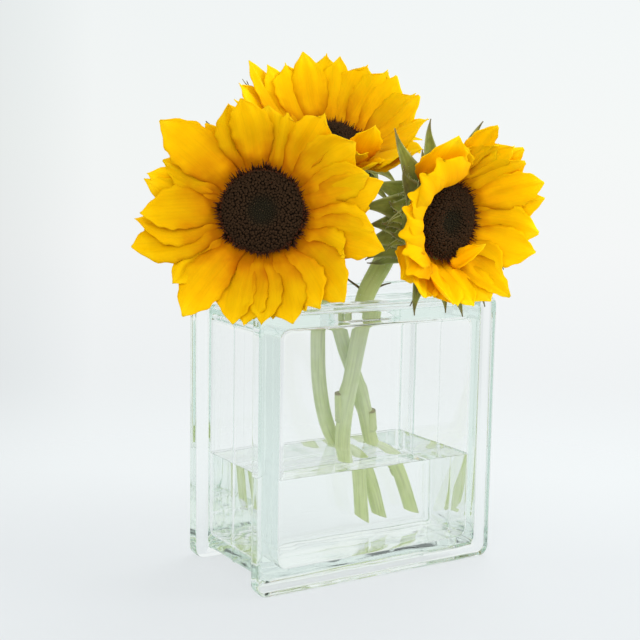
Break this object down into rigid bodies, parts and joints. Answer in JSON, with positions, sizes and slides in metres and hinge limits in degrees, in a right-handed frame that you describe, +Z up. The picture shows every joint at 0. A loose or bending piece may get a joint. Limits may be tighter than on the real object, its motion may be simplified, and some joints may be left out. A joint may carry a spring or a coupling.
{
  "type": "sunflowers in a glass block vase",
  "caption": "Cut sunflowers with long green stems standing in a square clear glass block vase, part filled with water.",
  "frame": {"origin": "on the surface the vase stands on, under the middle of the whole arrangement's box", "axes": "+Z up, -Y out of the vase's front plate, +X to the right seen from the front"},
  "size_m": [0.2728, 0.188, 0.3578],
  "materials": {
    "petal": "matte",
    "disc": "matte",
    "green": "matte",
    "glass": "polished",
    "water": "gloss"
  },
  "bodies": {
    "root": {"left_petals": "petal", "left_disc": "disc", "left_stem_and_bracts": "green", "top_petals": "petal", "top_disc": "disc", "top_stem_and_bracts": "green", "right_petals": "petal", "right_disc": "disc", "right_stem_and_bracts": "green", "glass_vase": "glass", "water": "water"}
  },
  "joints": []
}
